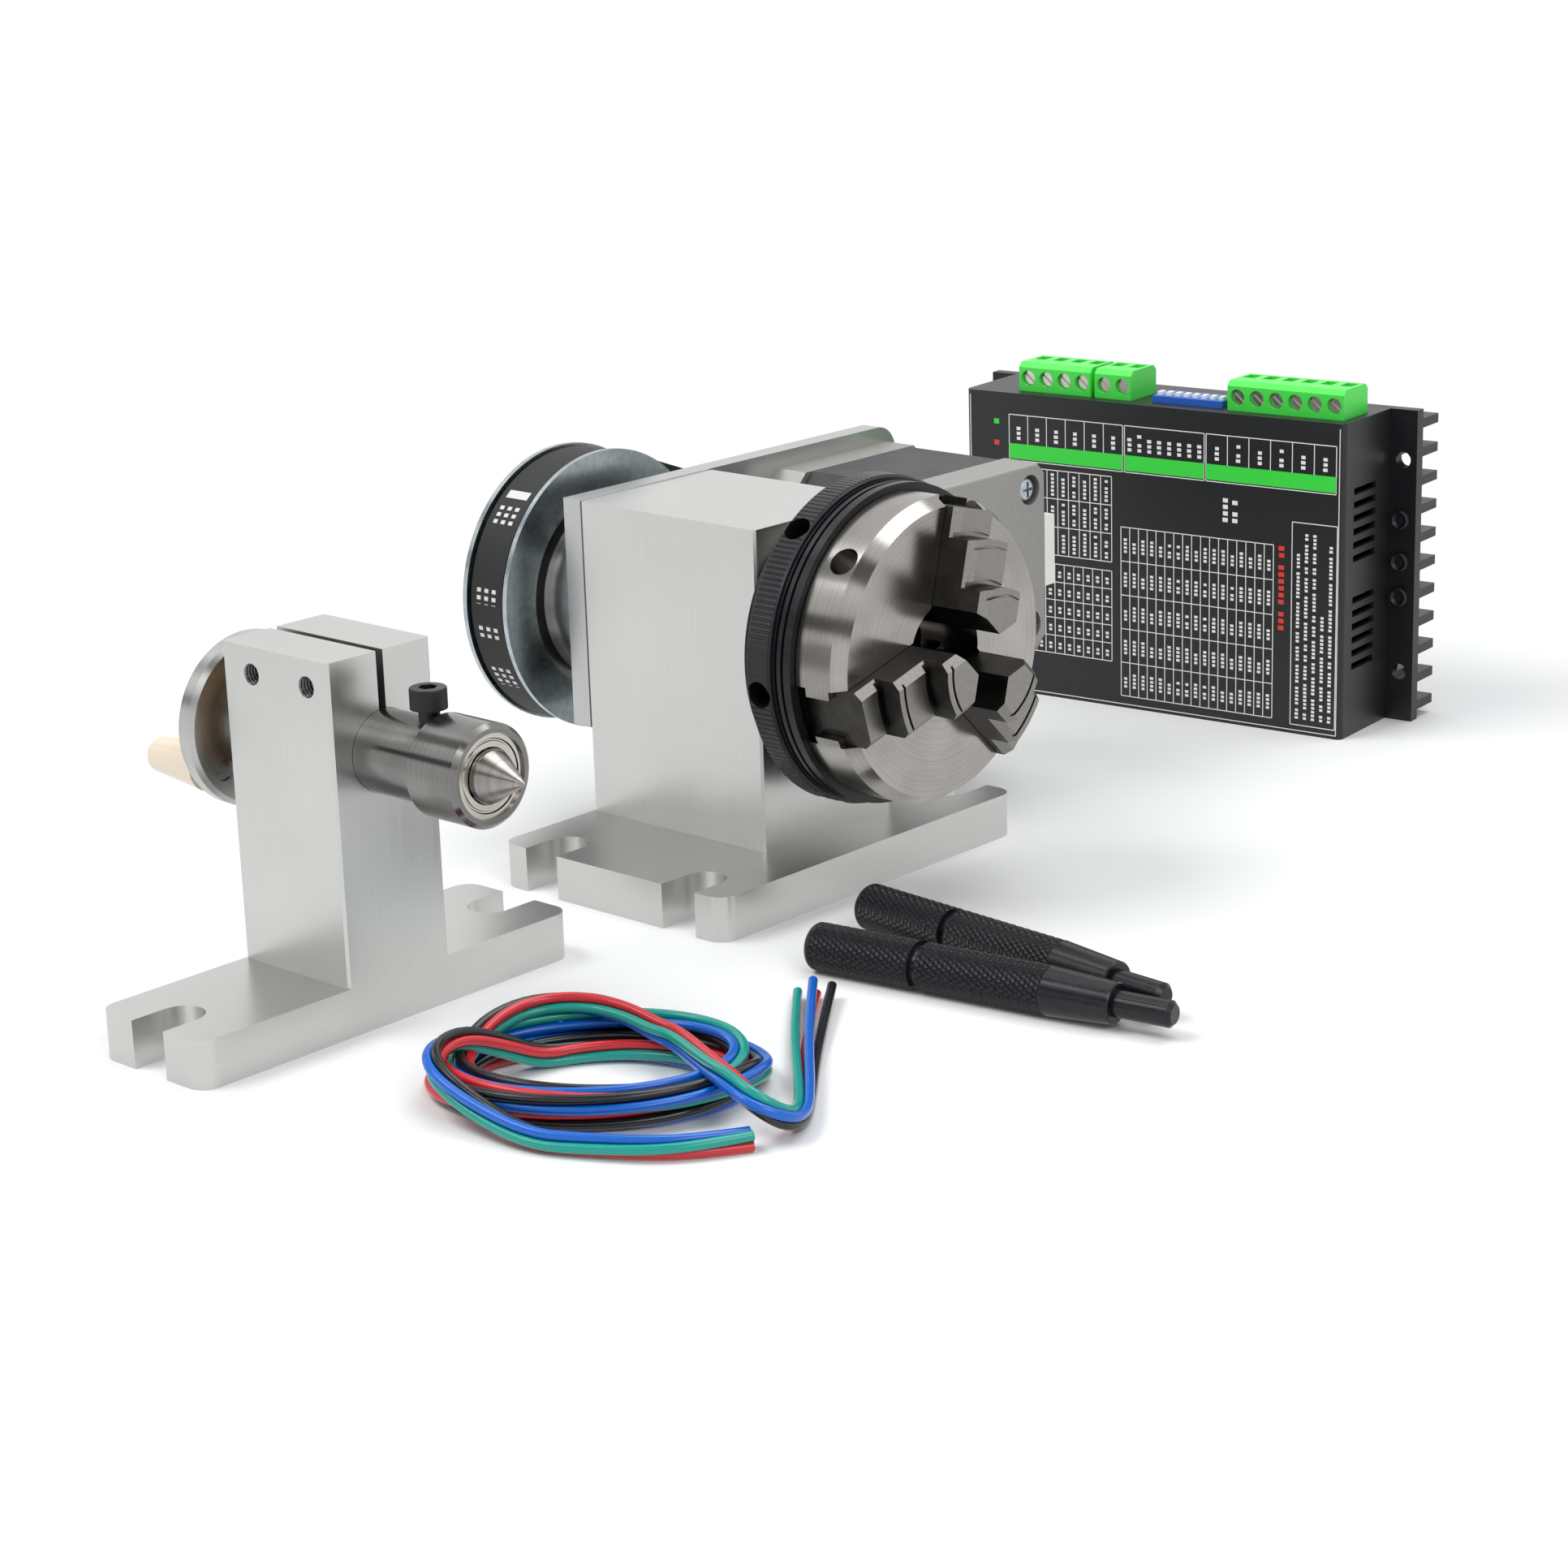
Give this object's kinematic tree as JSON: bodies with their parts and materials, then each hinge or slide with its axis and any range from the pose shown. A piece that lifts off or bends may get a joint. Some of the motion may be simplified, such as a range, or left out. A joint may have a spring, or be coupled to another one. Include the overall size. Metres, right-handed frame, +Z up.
{
  "type": "cnc rotary axis",
  "caption": "Belt-driven rotary axis headstock with scroll chuck, matching tailstock with live centre, tommy bars, motor lead and stepper driver.",
  "frame": {"origin": "on the floor under the middle of the headstock base, straight below the spindle axis", "axes": "+X along the spindle and out of the chuck, +Y to the motor side, +Z up"},
  "size_m": [0.1983, 0.3452, 0.087],
  "materials": {
    "aluminium": "satin machined",
    "plate_aluminium": "satin",
    "steel": "turned and polished",
    "jaw_steel": "ground, dark",
    "black_oxide": "black oxide",
    "zinc_steel": "bright zinc plated",
    "chrome": "polished",
    "bronze": "turned",
    "lamination": "laminated, dark",
    "die_cast": "as cast",
    "belt_rubber": "matt",
    "black_paint": "satin black",
    "black_plastic": "matt",
    "white_plastic": "matt",
    "green_plastic": "semi-gloss",
    "blue_plastic": "semi-gloss",
    "ivory_plastic": "semi-gloss",
    "lead_pvc": "pvc, four colours",
    "board": "glass epoxy"
  },
  "bodies": {
    "frame": {"headstock_base": "aluminium", "headstock_block": "aluminium", "headstock_base_screws": "black_oxide", "motor_plate": "plate_aluminium", "plate_screws": "black_oxide", "motor_mount_screws": "black_oxide", "spindle_bearing_outer_rings": "chrome", "spindle_bearing_balls": "chrome", "timing_belt": "belt_rubber", "motor_front_cover": "die_cast", "motor_stator": "lamination", "motor_rear_cover": "die_cast", "motor_case_screws": "zinc_steel", "motor_bearings": "chrome", "motor_connector": "white_plastic", "tailstock_base": "aluminium", "tailstock_block": "aluminium", "tailstock_clamp_screws": "black_oxide", "tailstock_base_screws": "black_oxide", "screw_bush": "bronze", "tommy_bar_1": "black_oxide", "tommy_bar_2": "black_oxide", "driver_heatsink": "black_paint", "driver_cover": "black_paint", "signal_terminals": "green_plastic", "power_terminals": "green_plastic", "terminal_screws": "zinc_steel", "dip_switch": "blue_plastic", "dip_levers": "white_plastic", "driver_board": "board", "motor_lead_coil": "lead_pvc", "motor_lead_tail_a": "lead_pvc", "motor_lead_tail_b": "lead_pvc"},
    "spindle_unit": {"spindle": "steel", "spindle_bearing_inner_rings": "chrome", "spindle_pulley": "plate_aluminium", "pulley_flanges": "zinc_steel", "pulley_set_screws": "black_oxide", "spindle_locknut": "black_oxide", "chuck_screws": "black_oxide", "chuck_back_plate": "steel", "chuck_body": "steel"},
    "rotor_unit": {"motor_shaft": "steel", "motor_rotor": "lamination", "motor_pulley": "plate_aluminium", "motor_pulley_set_screws": "black_oxide"},
    "scroll": {"scroll_ring": "black_oxide"},
    "jaw_1_body": {"jaw_1": "jaw_steel"},
    "jaw_2_body": {"jaw_2": "jaw_steel"},
    "jaw_3_body": {"jaw_3": "jaw_steel"},
    "quill_unit": {"quill": "steel", "quill_lock_screw": "black_oxide", "center_bearing_outer_rings": "chrome", "center_bearing_balls": "chrome"},
    "center_unit": {"live_center": "steel", "center_bearing_inner_rings": "chrome"},
    "wheel_unit": {"handwheel": "plate_aluminium", "leadscrew": "steel", "crank_handle_screw": "zinc_steel"},
    "handle": {"crank_handle": "ivory_plastic"}
  },
  "joints": [
    {"name": "spindle_spin", "type": "hinge", "parent": "frame", "child": "spindle_unit", "pos_m": [0, 0, 0.053], "axis": [1, 0, 0], "continuous": true},
    {"name": "motor_spin", "type": "hinge", "parent": "frame", "child": "rotor_unit", "pos_m": [0, 0.0604, 0.053], "axis": [1, 0, 0], "continuous": true},
    {"name": "scroll_turn", "type": "hinge", "parent": "spindle_unit", "child": "scroll", "pos_m": [0.033, 0, 0.053], "axis": [1, 0, 0], "range_deg": [-720, 720]},
    {"name": "jaw_1_slide", "type": "slide", "parent": "spindle_unit", "child": "jaw_1_body", "axis": [0, 0.2538, 0.9673], "range_m": [-0.005, 0.005]},
    {"name": "jaw_2_slide", "type": "slide", "parent": "spindle_unit", "child": "jaw_2_body", "axis": [0, -0.9646, -0.2639], "range_m": [-0.005, 0.005]},
    {"name": "jaw_3_slide", "type": "slide", "parent": "spindle_unit", "child": "jaw_3_body", "axis": [0, 0.7108, -0.7034], "range_m": [-0.005, 0.005]},
    {"name": "wheel_turn", "type": "hinge", "parent": "frame", "child": "wheel_unit", "pos_m": [-0.025, -0.1156, 0.053], "axis": [1, 0, 0], "range_deg": [-2160, 1440]},
    {"name": "quill_slide", "type": "slide", "parent": "frame", "child": "quill_unit", "axis": [1, 0, 0], "range_m": [-0.009, 0.006]},
    {"name": "center_spin", "type": "hinge", "parent": "quill_unit", "child": "center_unit", "pos_m": [0.035, -0.1156, 0.053], "axis": [1, 0, 0], "continuous": true},
    {"name": "handle_spin", "type": "hinge", "parent": "wheel_unit", "child": "handle", "pos_m": [-0.04, -0.1254, 0.0452], "axis": [1, 0, 0], "continuous": true}
  ],
  "couplings": [
    {"joint": "motor_spin", "follows": "spindle_spin", "ratio": 4},
    {"joint": "jaw_1_slide", "follows": "scroll_turn", "m_per_rad": -0.00039789},
    {"joint": "jaw_2_slide", "follows": "scroll_turn", "m_per_rad": -0.00039789},
    {"joint": "jaw_3_slide", "follows": "scroll_turn", "m_per_rad": -0.00039789},
    {"joint": "wheel_turn", "follows": "quill_slide", "rad_per_m": 4188.8}
  ]
}
